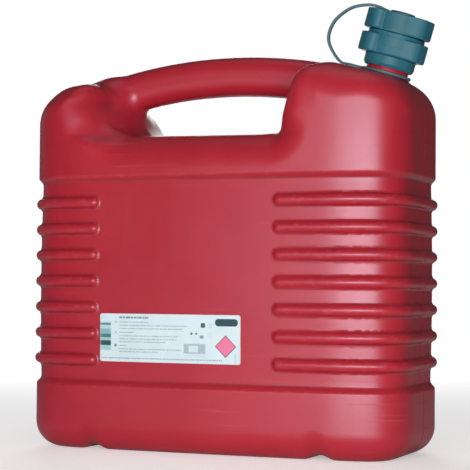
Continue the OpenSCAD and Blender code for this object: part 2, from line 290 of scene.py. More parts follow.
def plan(x, y, a=85.0, b=60.0, p=2.8):
    """The tank from above: flat sides that run into the corners with a growing curve."""
    qx, qy = np.abs(x + 0.6) - (W2 - a), np.abs(y) - (D2 - b)
    u, v = np.maximum(qx, 1e-3) / a, np.maximum(qy, 1e-3) / b
    n = (u ** p + v ** p) ** (1 / p)
    g = np.hypot(u ** (p - 1) / a, v ** (p - 1) / b) / n ** (p - 1)
    d = (n - 1) / g
    return np.where((qx > 0) & (qy > 0), d, np.where(qx > 0, qx - a, np.where(qy > 0, qy - b, np.maximum(qx - a, qy - b))))

def tank(x, y, z):
    base = plan(x, y)
    cr = 2.6 * np.clip(1 - (x / 150) ** 2, 0, 1) * step((np.abs(y) - 6) / 40.0)
    side = base - cr + recess(z)
    k = np.clip(np.round((RIB_Z - z) / RIB_P), 0, RIB_N - 1)
    dz = z - (RIB_Z - k * RIB_P)
    ex = np.maximum(np.minimum(x - RIB_X0, RIB_X1 - x), 0)
    rib = np.sqrt((base + 3.5) ** 2 + dz ** 2 + ex ** 2) - 5.5
    side = smin(side, rib, 2.2)
    # the hand hole's tail wall flares out towards both faces
    flare = np.where(y < 0, 17.0, 7.0) * (np.clip(np.abs(y) - 8, 0, 76) / 76) ** 1.2 * step((-92 - x) / 34) * step((z - 306) / 14) * step((392 - z) / 40)
    o = OUT(x + flare, z + 0.2217 * flare * step((z - 345) / 20))
    o = o + 3.2 * step((np.abs(y) - 14) / 30) * step((x + 172) / 32) * step((-84 - x) / 20) * step((z - 335) / 25)
    pocket = step((x + 128) / 14) * step((96 - x) / 16) * step((384 - z) / 26)
    tailw = step((-84 - x) / 22)
    headw = step((x - 46) / 22)
    fall = np.clip(1 - np.abs(y) / 78, 0, 1)
    draft = (1.2 + 6.0 * tailw + 3.5 * headw) * fall ** 1.15
    top_crown = 2.0 * step((x - 70) / 40) * np.clip(1 - (y / 60) ** 2, 0, 1)
    ridge = 5.6 * step((-112 - x) / 34) * step((x + 203) / 44) * np.clip(1 - (y / 42) ** 2, 0, 1) ** 1.5
    o = o - pocket * draft - (top_crown + ridge) * step((z - 330) / 30)
    r = 36 - 10 * step((x + 140) / 24) * step((-78 - x) / 22) * (step((z - 312) / 26) - 2.0 * step((z - 326) / 34)) \
           - 9 * step((x - 130) / 40) - 13 * step((x - 44) / 20) * step((118 - x) / 24) * step((z - 312) / 26)
    body = rmax(side, o, r)
    body = rmax(body, groove(x) - z, 27)
    hx0, hz0, R = -5.5, 402.8 - 529.0, 509.0
    s = R * np.arctan2(x - hx0, z - hz0)
    v = np.hypot(x - hx0, z - hz0) - R
    v = v + np.maximum(-s - 116, 0) ** 2 / 300 + np.maximum(s - 104, 0) ** 2 / 150
    bar = rrect(y, v, 19, 20, 17.2)
    bar = np.maximum(bar, np.maximum(-s - 175, s - 150))
    return rmin(body, bar, 11 + 3 * step((-86 - x) / 30) * step((v + 2) / 12))

def neck_frame(x, y, z):
    dx, dz = x - NX, z - NZ
    return dx * np.cos(TILT) - dz * np.sin(TILT), y, dx * np.sin(TILT) + dz * np.cos(TILT)

def to_world(V):
    """Points of the neck's frame (across, y, along the axis) to the can's frame."""
    V = np.asarray(V, float)
    c, s = np.cos(TILT), np.sin(TILT)
    return np.stack([NX + V[..., 0] * c + V[..., 2] * s, V[..., 1], NZ - V[..., 0] * s + V[..., 2] * c], -1)

def outer(x, y, z):
    """The tank with the neck's boss and the thin line where the two mould halves met."""
    a, b, t = neck_frame(x, y, z)
    boss = np.maximum(rmax(np.hypot(a, b) - 23.4, t - 2.4, 1.0), -t - 12)
    d = rmin(tank(x, y, z), boss, 2.0)
    away = np.hypot(a, b) - 26
    return d - 0.42 * np.exp(-(y / 0.85) ** 2) * step(z / 8) * step(away / 3)

# ---------------------------------------------------------------- materials
class Mat:
    """A node material with a Principled shader."""
    def __init__(s, name):
        s.m = bpy.data.materials.new(name)
        s.m.use_nodes = True
        s.t = s.m.node_tree
        s.t.nodes.clear()
        s.out = s.n("ShaderNodeOutputMaterial")
        s.p = s.n("ShaderNodeBsdfPrincipled")
        s.link(s.p.outputs[0], s.out.inputs["Surface"])
        s.tc = s.n("ShaderNodeTexCoord")
        s.obj = s.tc.outputs["Object"]
    def n(s, kind, **kw):
        nd = s.t.nodes.new(kind)
        for k, v in kw.items():
            setattr(nd, k, v)
        return nd
    def link(s, a, b):
        s.t.links.new(a, b)
    def put(s, sock, v):
        if isinstance(v, bpy.types.NodeSocket):
            s.link(v, sock)
        else:
            sock.default_value = v
    def scaled(s, sx, sy, sz, rot=(0, 0, 0), src=None):
        nd = s.n("ShaderNodeMapping")
        s.link(src or s.obj, nd.inputs["Vector"])
        nd.inputs["Scale"].default_value = (sx, sy, sz)
        nd.inputs["Rotation"].default_value = rot
        return nd.outputs[0]
    def noise(s, scale, detail=2.0, rough=0.5, vec=None, dist=0.0):
        nd = s.n("ShaderNodeTexNoise")
        s.link(vec or s.obj, nd.inputs["Vector"])
        nd.inputs["Scale"].default_value = scale
        nd.inputs["Detail"].default_value = detail
        nd.inputs["Roughness"].default_value = rough
        nd.inputs["Distortion"].default_value = dist
        return nd.outputs["Fac"]
    def voronoi(s, scale, vec=None, feature="F1"):
        nd = s.n("ShaderNodeTexVoronoi", feature=feature)
        s.link(vec or s.obj, nd.inputs["Vector"])
        nd.inputs["Scale"].default_value = scale
        return nd.outputs["Distance"]
    def ramp(s, v, a, b, lo=0.0, hi=1.0, kind="SMOOTHSTEP"):
        nd = s.n("ShaderNodeMapRange", interpolation_type=kind)
        s.put(nd.inputs["Value"], v)
        for k, x in (("From Min", a), ("From Max", b), ("To Min", lo), ("To Max", hi)):
            nd.inputs[k].default_value = x
        return nd.outputs[0]
    def math(s, op, a, b=0.0, c=None, clamp=False):
        nd = s.n("ShaderNodeMath", operation=op, use_clamp=clamp)
        s.put(nd.inputs[0], a)
        s.put(nd.inputs[1], b)
        if c is not None:
            s.put(nd.inputs[2], c)
        return nd.outputs[0]
    def mix(s, f, a, b):
        nd = s.n("ShaderNodeMix", data_type="RGBA")
        s.put(nd.inputs[0], f)
        for sock, v in ((nd.inputs[6], a), (nd.inputs[7], b)):
            s.put(sock, v if isinstance(v, bpy.types.NodeSocket) else (*v, 1.0))
        return nd.outputs[2]
    def attr(s, name):
        return s.n("ShaderNodeAttribute", attribute_name=name).outputs["Fac"]
    def bump(s, *layers):
        """Layers are (height, distance in metres, strength)."""
        last = None
        for h, dist, strength in layers:
            nd = s.n("ShaderNodeBump")
            s.link(h, nd.inputs["Height"])
            nd.inputs["Distance"].default_value = dist
            nd.inputs["Strength"].default_value = strength
            if last is not None:
                s.link(last, nd.inputs["Normal"])
            last = nd.outputs[0]
        s.link(last, s.p.inputs["Normal"])
    def set(s, **kw):
        for k, v in kw.items():
            s.put(s.p.inputs[k.replace("_", " ")], v)

def scuffs(m, seed, scale=1.0):
    """Fine dry scratches at two angles, broken up in patches."""
    lines = []
    for i, (ang, sx) in enumerate(((0.35, 14), (-0.75, 11))):
        v = m.scaled(sx * scale, sx * scale, 420 * scale, (0.1 + seed, ang, 0.2 * seed))
        lines.append(m.ramp(m.noise(1.0, 1.0, 0.5, v), 0.66, 0.74))
    both = m.math("MAXIMUM", lines[0], lines[1])
    patch = m.ramp(m.noise(7.0 * scale, 2.0, 0.55, m.scaled(1, 1, 1, (seed, 0, 0))), 0.52, 0.68)
    return m.math("MULTIPLY", both, patch)

def red_plastic():
    m = Mat("tank_red_pe")
    broad = m.noise(6.0, 3.0, 0.55)
    fine = m.noise(240.0, 3.0, 0.6)
    flow = m.noise(1.0, 3.0, 0.5, m.scaled(26, 26, 5))
    wear = m.attr("edge")
    crease_shade = m.attr("crease")
    sc = scuffs(m, 0.3)
    c = m.mix(m.ramp(broad, 0.35, 0.65), (0.360, 0.0115, 0.0240), (0.400, 0.0145, 0.0285))
    c = m.mix(m.ramp(flow, 0.42, 0.7, 0.0, 0.3), c, (0.435, 0.019, 0.035))
    c = m.mix(m.ramp(fine, 0.45, 0.75, 0.0, 0.16), c, (0.305, 0.008, 0.017))
    rub = m.math("MULTIPLY", m.ramp(wear, 0.3, 1.0), m.ramp(m.noise(150.0, 5.0, 0.7), 0.50, 0.66))
    c = m.mix(m.math("MULTIPLY", rub, 0.22), c, (0.52, 0.085, 0.10))
    c = m.mix(m.math("MULTIPLY", sc, 0.13), c, (0.58, 0.14, 0.155))
    # painted shade: concave creases are mixed towards a darker copy of the red, by an amount that varies with noise
    crease_shade_mix = m.math("MULTIPLY", crease_shade, m.ramp(m.noise(30.0, 3.0, 0.6), 0.3, 0.65, 0.35, 1.0))
    c = m.mix(m.math("MULTIPLY", crease_shade_mix, 0.42), c, (0.16, 0.018, 0.02))
    m.set(Base_Color=c)
    r = m.ramp(m.noise(16.0, 4.0, 0.6), 0.3, 0.7, 0.355, 0.415)
    r = m.math("ADD", r, m.math("MULTIPLY", m.math("SUBTRACT", fine, 0.5), 0.07))
    r = m.math("ADD", r, m.math("MULTIPLY", rub, 0.12))
    r = m.math("ADD", r, m.math("MULTIPLY", sc, 0.15), clamp=True)
    m.set(Roughness=r)
    m.set(IOR=1.51, Specular_IOR_Level=0.7, Coat_Weight=0.04, Coat_Roughness=0.2, Subsurface_Weight=0.06, Subsurface_Scale=0.004)
    m.p.inputs["Subsurface Radius"].default_value = (1.0, 0.25, 0.2)
    m.p.inputs["Specular Tint"].default_value = (0.80, 0.83, 1.0, 1.0)
    m.bump((m.noise(9.0, 2.0, 0.5), 0.0011, 0.22), (m.noise(520.0, 2.0, 0.5), 0.00012, 0.35),
           (m.noise(1500.0, 1.0, 0.5), 0.00004, 0.4), (sc, 0.00006, 0.5))
    return m.m

def teal_plastic():
    m = Mat("closure_teal_pp")
    broad = m.noise(30.0, 3.0, 0.55)
    fine = m.noise(700.0, 2.0, 0.6)
    wear = m.attr("edge")
    crease_shade = m.attr("crease")
    sc = scuffs(m, 0.8, 2.2)
    c = m.mix(m.ramp(broad, 0.35, 0.65), (0.0150, 0.108, 0.150), (0.0195, 0.124, 0.172))
    c = m.mix(m.ramp(m.noise(1.0, 2.0, 0.5, m.scaled(160, 160, 30)), 0.45, 0.72, 0.0, 0.4), c, (0.026, 0.142, 0.190))
    rub = m.math("MULTIPLY", m.ramp(wear, 0.3, 0.95), m.ramp(m.noise(260.0, 4.0, 0.65), 0.45, 0.62))
    c = m.mix(m.math("MULTIPLY", rub, 0.30), c, (0.07, 0.19, 0.215))
    c = m.mix(m.math("MULTIPLY", sc, 0.22), c, (0.13, 0.27, 0.30))
    # painted shade: concave creases are mixed towards a near-black copy of the teal
    c = m.mix(m.math("MULTIPLY", crease_shade, 0.55), c, (0.004, 0.022, 0.030))
    m.set(Base_Color=c)
    r = m.ramp(m.noise(60.0, 3.0, 0.6), 0.3, 0.7, 0.47, 0.55)
    r = m.math("ADD", r, m.math("MULTIPLY", rub, 0.15))
    r = m.math("ADD", r, m.math("MULTIPLY", fine, 0.06), clamp=True)
    m.set(Roughness=r)
    m.set(IOR=1.5, Specular_IOR_Level=0.3, Coat_Weight=0.02, Coat_Roughness=0.3)
    m.bump((m.noise(55.0, 2.0, 0.5), 0.00035, 0.2), (fine, 0.00006, 0.45), (sc, 0.00004, 0.5))
    return m.m

def strap_plastic():
    m = Mat("strap_teal_soft")
    fine = m.noise(900.0, 2.0, 0.6)
    c = m.mix(m.ramp(m.noise(80.0, 3.0, 0.55), 0.35, 0.68), (0.050, 0.125, 0.150), (0.072, 0.160, 0.185))
    dust = m.ramp(m.noise(260.0, 4.0, 0.7), 0.5, 0.75, 0.0, 0.35)
    c = m.mix(dust, c, (0.145, 0.235, 0.255))
    m.set(Base_Color=c, Roughness=m.ramp(m.noise(120.0, 3.0, 0.6), 0.3, 0.7, 0.46, 0.60))
    m.set(IOR=1.48)
    m.bump((m.noise(130.0, 2.0, 0.5), 0.0003, 0.3), (fine, 0.00005, 0.5))
    return m.m

def black_plastic():
    m = Mat("spout_black_pe")
    fine = m.noise(900.0, 2.0, 0.6)
    c = m.mix(m.ramp(m.noise(60.0, 3.0, 0.55), 0.35, 0.65), (0.011, 0.011, 0.013), (0.022, 0.022, 0.024))
    c = m.mix(m.ramp(m.noise(300.0, 4.0, 0.7), 0.55, 0.8, 0.0, 0.3), c, (0.06, 0.06, 0.062))
    m.set(Base_Color=c, Roughness=m.ramp(m.noise(90.0, 3.0, 0.6), 0.3, 0.7, 0.42, 0.56), IOR=1.5)
    m.bump((m.noise(110.0, 2.0, 0.5), 0.0003, 0.25), (fine, 0.00005, 0.5))
    return m.m

def rubber():
    m = Mat("seal_nitrile")
    fine = m.noise(1400.0, 3.0, 0.65)
    c = m.mix(m.ramp(m.noise(120.0, 3.0, 0.6), 0.35, 0.68), (0.012, 0.012, 0.012), (0.028, 0.027, 0.026))
    m.set(Base_Color=c, Roughness=m.ramp(fine, 0.3, 0.7, 0.66, 0.82), IOR=1.5)
    m.bump((fine, 0.00006, 0.6), (m.noise(160.0, 2.0, 0.5), 0.0002, 0.3))
    return m.m

# ---------------------------------------------------------------- the printed label, with abstract shapes only
LX0, LX1, LZ0, LZ1 = -110.7, 41.7, 90.2, 138.2
LW, LH = LX1 - LX0, LZ1 - LZ0

def label_print():
    m = Mat("label_print")
    uv = m.n("ShaderNodeUVMap", uv_map="UVMap").outputs[0]
    sep = m.n("ShaderNodeSeparateXYZ")
    m.link(uv, sep.inputs[0])
    U = m.math("MULTIPLY", sep.outputs[0], LW)
    V = m.math("MULTIPLY", sep.outputs[1], LH)
    soft = 0.16
    def box(u0, u1, v0, v1, r=0.0, s=soft):
        """1 inside a rectangle (mm from the label's lower left corner), with soft edges."""
        if r:
            du = m.math("SUBTRACT", m.math("ABSOLUTE", m.math("SUBTRACT", U, (u0 + u1) / 2)), (u1 - u0) / 2 - r)
            dv = m.math("SUBTRACT", m.math("ABSOLUTE", m.math("SUBTRACT", V, (v0 + v1) / 2)), (v1 - v0) / 2 - r)
            h = m.math("SQRT", m.math("ADD", m.math("POWER", m.math("MAXIMUM", du, 0.0), 2.0),
                                     m.math("POWER", m.math("MAXIMUM", dv, 0.0), 2.0)))
            return m.ramp(m.math("SUBTRACT", h, r), -s, s, 1.0, 0.0)
        a = m.ramp(m.math("SUBTRACT", m.math("ABSOLUTE", m.math("SUBTRACT", U, (u0 + u1) / 2)), (u1 - u0) / 2), -s, s, 1.0, 0.0)
        b = m.ramp(m.math("SUBTRACT", m.math("ABSOLUTE", m.math("SUBTRACT", V, (v0 + v1) / 2)), (v1 - v0) / 2), -s, s, 1.0, 0.0)
        return m.math("MULTIPLY", a, b)
    paper = m.mix(m.ramp(m.noise(45.0, 3.0, 0.6), 0.35, 0.7), (0.555, 0.685, 0.745), (0.610, 0.725, 0.785))
    c = paper
    fx, fy = lambda p: (p - 133) / 1357 * LW, lambda p: (1 - (p - 142) / 452) * LH
    # coloured bands at the left end
    for y0, y1, col in ((218, 232, (0.45, 0.62, 0.63)), (232, 251, (0.06, 0.22, 0.25)), (251, 286, (0.42, 0.62, 0.63)),
                        (286, 333, (0.20, 0.42, 0.44)), (333, 368, (0.05, 0.17, 0.20)), (368, 396, (0.30, 0.50, 0.52)),
                        (396, 442, (0.012, 0.075, 0.105)), (442, 487, (0.32, 0.53, 0.55))):
        c = m.mix(box(-1, fx(242), fy(y1), fy(y0), s=0.22), c, col)
    # greeked lines: bars broken up into short runs, with no letters
    def line(x0, x1, yc, h, seed, dark=0.72, gap=0.43):
        cells = m.n("ShaderNodeTexNoise", noise_dimensions="1D")
        m.link(m.math("ADD", U, seed * 37.0), cells.inputs["W"])
        cells.inputs["Scale"].default_value = 0.85
        cells.inputs["Detail"].default_value = 1.0
        words = m.ramp(cells.outputs["Fac"], gap - 0.02, gap + 0.02)
        return m.math("MULTIPLY", m.math("MULTIPLY", box(x0, x1, yc - h / 2, yc + h / 2, s=0.22), words), dark)
    grey = (0.13, 0.23, 0.26)
    rows = [(325, 612, 178, 1.9, 1, 0.95, 0.40), (325, 612, 222, 0.95, 2, 0.6, 0.36), (325, 985, 252, 1.0, 3, 0.62, 0.40),
            (325, 940, 281, 1.0, 4, 0.62, 0.40), (325, 470, 318, 0.95, 5, 0.6, 0.30), (325, 905, 350, 1.0, 6, 0.62, 0.40),
            (325, 890, 379, 1.0, 7, 0.62, 0.40), (325, 780, 406, 1.0, 8, 0.62, 0.40), (325, 400, 441, 0.95, 9, 0.6, 0.3),
            (325, 935, 474, 1.0, 10, 0.62, 0.40), (325, 705, 499, 1.0, 11, 0.62, 0.40), (150, 1320, 560, 1.1, 12, 0.66, 0.38)]
    ink = None
    for x0, x1, y, h, sd, dk, gp in rows:
        l = line(fx(x0), fx(x1), fy(y), h, sd, dk, gp)
        ink = l if ink is None else m.math("MAXIMUM", ink, l)
    c = m.mix(ink, c, grey)
    def disc(px, py, r, w=0.0):
        d = m.math("SQRT", m.math("ADD", m.math("POWER", m.math("SUBTRACT", U, fx(px)), 2.0),
                                 m.math("POWER", m.math("SUBTRACT", V, fy(py)), 2.0)))
        if w:
            d = m.math("SUBTRACT", m.math("ABSOLUTE", m.math("SUBTRACT", d, r)), w)
            return m.ramp(d, -0.2, 0.2, 1.0, 0.0)
        return m.ramp(m.math("SUBTRACT", d, r), -0.2, 0.2, 1.0, 0.0)
    dots = m.math("MAXIMUM", m.math("MULTIPLY", disc(293, 222, 1.3), 0.25),
                  m.math("MAXIMUM", m.math("MULTIPLY", disc(291, 318, 1.3), 0.35), m.math("MULTIPLY", disc(289, 440, 1.4), 0.85)))
    c = m.mix(dots, c, (0.07, 0.14, 0.17))
    # small abstract marks and a framed box
    marks = m.math("MAXIMUM", box(fx(1118), fx(1160), fy(262), fy(218), 1.0), m.math("MAXIMUM", disc(1030, 318, 1.2), disc(1075, 318, 1.0)))
    marks = m.math("MAXIMUM", marks, m.math("MULTIPLY", box(fx(1110), fx(1146), fy(362), fy(332), 0.8), 0.7))
    c = m.mix(m.math("MULTIPLY", marks, 0.92), c, (0.02, 0.05, 0.06))
    faint = m.math("MAXIMUM", box(fx(1190), fx(1226), fy(262), fy(218), 1.0), m.math("MULTIPLY", box(fx(1176), fx(1226), fy(362), fy(300), 1.0), 0.6))
    c = m.mix(m.math("MULTIPLY", faint, 0.4), c, (0.4, 0.5, 0.52))
    frame_box = m.math("SUBTRACT", box(fx(955), fx(1162), fy(503), fy(412)), box(fx(1003), fx(1092), fy(489), fy(430)), clamp=True)
    c = m.mix(m.math("MULTIPLY", frame_box, 0.85), c, (0.30, 0.41, 0.47))
    c = m.mix(m.math("MULTIPLY", box(fx(960), fx(1162), fy(540), fy(512), 0.0, 0.3), 0.12), c, (0.3, 0.4, 0.46))
    # dark pill, plain
    c = m.mix(box(fx(1252), fx(1466), fy(246), fy(178), 3.4), c, (0.010, 0.052, 0.072))
    # plain diamond with a darker edge
    dd = m.math("ADD", m.math("ABSOLUTE", m.math("SUBTRACT", U, fx(1352))),
                m.math("MULTIPLY", m.math("ABSOLUTE", m.math("SUBTRACT", V, fy(431))), 1.02))
    c = m.mix(m.ramp(dd, 11.0, 11.4, 1.0, 0.0), c, (0.16, 0.055, 0.10))
    c = m.mix(m.ramp(dd, 9.9, 10.3, 1.0, 0.0), c, (0.72, 0.17, 0.32))
    c = m.mix(m.math("MULTIPLY", box(fx(1434), fx(1450), fy(590), fy(492)), 0.3), c, (0.25, 0.35, 0.38))
    rub = m.ramp(m.noise(70.0, 5.0, 0.7), 0.6, 0.78, 0.0, 0.25)
    c = m.mix(rub, c, (0.60, 0.69, 0.74))
    c = m.mix(m.math("MULTIPLY", m.attr("rim"), 0.35), c, (0.50, 0.50, 0.47))
    m.set(Base_Color=c, Roughness=m.ramp(m.noise(90.0, 3.0, 0.6), 0.3, 0.7, 0.42, 0.58), IOR=1.46)
    m.bump((m.noise(22.0, 2.0, 0.5), 0.0004, 0.3), (m.noise(1600.0, 2.0, 0.6), 0.00003, 0.4))
    return m.m

RED, TEAL, STRAP, BLACK, RUBBER, LABEL = (f() for f in (red_plastic, teal_plastic, strap_plastic, black_plastic, rubber, label_print))

# ---------------------------------------------------------------- tank: shell, neck with thread, hollow inside
TH = 5.0
def thread(r, th, t, rb, rt, t0, t1, pitch, wb, wt):
    """Distance to a helical ridge with tapered ends, right-handed, on a cylinder of radius rb."""
    u = (t - t0) / pitch - th / (2 * np.pi)
    k = np.round(u)
    n = (t1 - t0) / pitch
    turn = k + th / (2 * np.pi)
    fade = np.clip(np.minimum(0.35 + turn * 20 / 8, 0.35 + (n - turn) * 20 / 8), 0, 1)
    sgn = 1 if rt > rb else -1
    hgt = (rt - rb) * sgn
    up = (r - rb) * sgn
    hw = wb / 2 + (wt - wb) / 2 * np.clip(up / hgt, -0.5, 1.5)
    side = (np.abs((u - k) * pitch) - hw) * hgt / np.hypot(hgt, (wb - wt) / 2)
    d = rmax(side, up - hgt * fade, 0.3)
    return np.where((turn < -0.02) | (turn > n + 0.02), 9.0, d)

def neck_tube():
    NA = 128
    rows = [(20.5, -8), (20.5, -3), (20.5, 1), (20.5, 5.6), (20.95, 6.1), (21.35, 6.7), (21.45, 7.2), (21.35, 7.7), (20.95, 8.3), (20.5, 8.8)]
    n_plain = len(rows)
    for t in np.arange(10.4, 28.9, 0.42):
        rows.append((20.5, t))
    n_thread = len(rows)
    rows += [(20.5, 29.7), (20.35, 30.4), (19.95, 30.85), (19.4, 31.0), (18.4, 31.0), (17.85, 30.85), (17.55, 30.45), (17.5, 29.8)]
    rows += [(17.5, t) for t in (26, 22, 18, 14, 10, 6, 2, -3, -8)]
    th = np.arange(NA) * 2 * np.pi / NA
    V = np.zeros((len(rows), NA, 3))
    for i, (r, t) in enumerate(rows):
        rr = np.full(NA, r, float)
        if n_plain <= i < n_thread:
            fine = np.linspace(20.5, 22.3, 37)
            d = thread(fine[None, :], th[:, None], t, 19.8, 22.3, 12, 27, 5.0, 3.6, 1.1)
            rr = np.where(d < 0, fine[None, :], 20.5).max(1)
        V[i, :, 0], V[i, :, 1], V[i, :, 2] = rr * np.cos(th), rr * np.sin(th), t
    n = len(rows)
    i, j = np.meshgrid(np.arange(n), np.arange(NA), indexing="ij")
    a = i * NA + j
    b = i * NA + (j + 1) % NA
    c = ((i + 1) % n) * NA + (j + 1) % NA
    d = ((i + 1) % n) * NA + j
    return to_world(V.reshape(-1, 3)), np.stack([a, b, c, d], -1).reshape(-1, 4)

def combine(a, b, op):
    """Boolean of two closed meshes."""
    oa, ob = bpy.data.objects.new("a", a), bpy.data.objects.new("b", b)
    for o in (oa, ob):
        scene.collection.objects.link(o)
    md = oa.modifiers.new("m", "BOOLEAN")
    md.operation, md.object, md.solver = op, ob, "MANIFOLD"
    bpy.context.view_layer.update()
    out = bpy.data.meshes.new_from_object(oa.evaluated_get(bpy.context.evaluated_depsgraph_get()))
    for o in (oa, ob):
        bpy.data.objects.remove(o)
    return out

def curvature(f, V, e):
    """Convex edges positive, creases negative, in 1/mm."""
    x, y, z = V.T
    s = f(x + e, y, z) + f(x - e, y, z) + f(x, y + e, z) + f(x, y - e, z) + f(x, y, z + e) + f(x, y, z - e)
    return (s - 6 * f(x, y, z)) / (e * e)

k = 1.0
ax = [axis(-209, 209, 3.7 * k, ((-209, -190, 2.6 * k), (-190, -150, 3.2 * k), (-127, -110, 2.0 * k), (70, 88, 2.0 * k), (135, 190, 3.2 * k), (190, 209, 2.6 * k))),
      axis(-96, 96, 3.3 * k, ((-96, -80, 2.6 * k), (-2.7, 2.7, 0.55), (80, 96, 2.6 * k))),
      axis(-6, 408, 3.3 * k, ((-6, 34, 3.0 * k), (60, 76, 1.7 * k), (76, 262, 2.75 * k), (262, 281, 1.7 * k)))]
V, Q = nets(outer, ax)
me_out = mesh_of("can_outer", V, Q)
V, Q = neck_tube()
me_neck = mesh_of("can_neck", V, Q)
WALL = 2.8
kk = 9.0
V, Q = nets(lambda x, y, z: tank(x, y, z) + WALL, [axis(-206, 206, kk), axis(-93, 93, kk), axis(-3, 406, kk)], 3)
me_in = mesh_of("can_inner", V, Q)
NB = 72
ang = np.arange(NB) * 2 * np.pi / NB
ring = lambda r, t: np.stack([r * np.cos(ang), r * np.sin(ang), np.full(NB, float(t))], 1)
def plug(r, t0, t1):
    """A round rod along the neck's axis, as fans round two middle points."""
    P = np.concatenate([ring(r, t0), ring(r, t1), [[0, 0, t0], [0, 0, t1]]])
    j = np.arange(NB)
    j2 = (j + 1) % NB
    T = np.concatenate([np.stack([j, j2, NB + j2], 1), np.stack([j, NB + j2, NB + j], 1),
                        np.stack([j2, j, np.full(NB, 2 * NB)], 1), np.stack([NB + j, NB + j2, np.full(NB, 2 * NB + 1)], 1)])
    return to_world(P), T
V, T = plug(17.5, -14, 6.0)
me_bore = mesh_of("can_bore", V, T)
shell = combine(me_out, me_bore, "DIFFERENCE")
shell = combine(shell, me_in, "DIFFERENCE")
shell = combine(shell, me_neck, "UNION")
print("tank faces", len(me_out.polygons), "inner", len(me_in.polygons), "neck", len(me_neck.polygons), "all", len(shell.polygons))
exact_normals(shell, outer)
P = points(shell)
cv = curvature(outer, P, 2.2)
scalar(shell, "edge", np.clip(cv / 0.16, 0, 1))
# concave creases, which the material darkens as painted shade
scalar(shell, "crease", np.clip(-cv / 0.22, 0, 1))
can = piece("can_shell", shell, "tank", RED, "tank_red", "tank_shell")

# ---------------------------------------------------------------- label: a film that follows the front face
def front_y(x, z):
    y = np.full(x.shape, -84.0)
    for _ in range(8):
        d = tank(x, y, z)
        y = y - d / ((tank(x, y + 0.1, z) - tank(x, y - 0.1, z)) / 0.2)
    return y

def label_mesh():
    nu, r = 64, 2.2
    zs = np.unique(np.concatenate([np.linspace(0, LH, 22), r * (1 - np.cos(np.linspace(0, np.pi / 2, 7))), LH - r * (1 - np.cos(np.linspace(0, np.pi / 2, 7)))]))
    cut = np.where(zs < r, r - np.sqrt(np.maximum(r * r - (r - zs) ** 2, 0)),
                   np.where(zs > LH - r, r - np.sqrt(np.maximum(r * r - (zs - LH + r) ** 2, 0)), 0))
    u = np.linspace(0, 1, nu)
    X = cut[:, None] + u[None] * (LW - 2 * cut[:, None])
    Z = np.repeat(zs[:, None], nu, 1)
    Y = front_y(LX0 + X, LZ0 + Z)
    lift = 0.26 + 0.05 * np.sin(X * 0.21 + 1.0) * np.sin(Z * 0.33)
    top = np.stack([LX0 + X, Y - lift, LZ0 + Z], -1)
    low = np.stack([LX0 + X, Y - 0.03, LZ0 + Z], -1)
    nv = len(zs)
    V = np.concatenate([top.reshape(-1, 3), low.reshape(-1, 3)])
    i, j = np.meshgrid(np.arange(nv - 1), np.arange(nu - 1), indexing="ij")
    a = (i * nu + j).ravel()
    front = np.stack([a, a + 1, a + nu + 1, a + nu], 1)
    back = front[:, ::-1] + nv * nu
    loop = list(range(nu - 1)) + [q * nu + nu - 1 for q in range(nv - 1)] + [(nv - 1) * nu + q for q in range(nu - 1, 0, -1)] + [q * nu for q in range(nv - 1, 0, -1)]
    loop = np.array(loop)
    nxt = np.roll(loop, -1)
    rim = np.stack([nxt, loop, loop + nv * nu, nxt + nv * nu], 1)
    me = mesh_of("label_film", V, np.concatenate([front, back, rim]))
    uv = me.uv_layers.new(name="UVMap")
    li = np.empty(len(me.loops), np.int32)
    me.loops.foreach_get("vertex_index", li)
    UV = np.stack([np.tile((X / LW).ravel(), 2), np.tile((Z / LH).ravel(), 2)], 1)
    uv.data.foreach_set("uv", UV[li].astype(np.float32).ravel())
    edge = np.minimum(np.minimum(X - cut[:, None], LW - cut[:, None] - X), np.minimum(Z, LH - Z))
    scalar(me, "rim", np.tile(np.clip(1 - edge.ravel() / 0.8, 0, 1), 2))
    smooth(me, 40)
    return me
piece("printed_label", label_mesh(), "tank", LABEL, "label_paper", "info_label")

# ---------------------------------------------------------------- closure, in the neck's frame
LOBE_R, GRIP_R, LOBE_HW = 35.0, 28.7, 12.6
LOBES = [math.radians(a) for a in (106, 226, 346)]

def lobed(a, b):
    d = np.hypot(a, b) - GRIP_R
    for g in LOBES:
        u = a * math.cos(g) + b * math.sin(g)
        v = -a * math.sin(g) + b * math.cos(g)
        # steep on one side, and running out into the round on the other
        lobe = rrect(u - LOBE_R / 2, v, LOBE_R / 2, LOBE_HW, 8.5)
        d = rmin(d, lobe, 1.2 + 8.5 * step(-v / 9))
    return d

def ring_of(r, t, rr, tt, w):
    return np.hypot(r - rr, t - tt) - w

def nut(a, b, t):
    r, th = np.hypot(a, b), np.arctan2(b, a) % (2 * np.pi)
    cone = (r - (23.9 + (t - 9.0) * 0.583)) * 0.864
    skirt = rmax(np.maximum(r - 25.65, cone), 9.0 - t, 0.7)
    skirt = np.maximum(skirt, t - 22)
    lobes = rmax(rmax(lobed(a, b), 20.3 - t, 2.6), t - 39.2, 1.4)
    band = rmax(r - GRIP_R, t - 43.1, 0.5)
    band = np.maximum(band, 30 - t)
    stub = np.maximum(rmax(r - 18.6, t - 57.9, 0.7), 30 - t)
    d = rmin(rmin(skirt, lobes, 0.9), band, 0.7)
    d = rmin(d, stub, 0.6)
    d = smin(d, thread(r, th, t, 17.9, 20.2, 46.5, 54.5, 4.0, 3.0, 0.9), 0.25)
    bore = rmax(r - 22.9, t - 34.4, 0.4)
    bore = np.maximum(bore, -thread(r, th, t, 23.7, 21.1, 14.5, 29.5, 5.0, 3.6, 1.1))
    d = np.maximum(d, -bore)
    return rmax(d, 15.4 - r, 0.5)

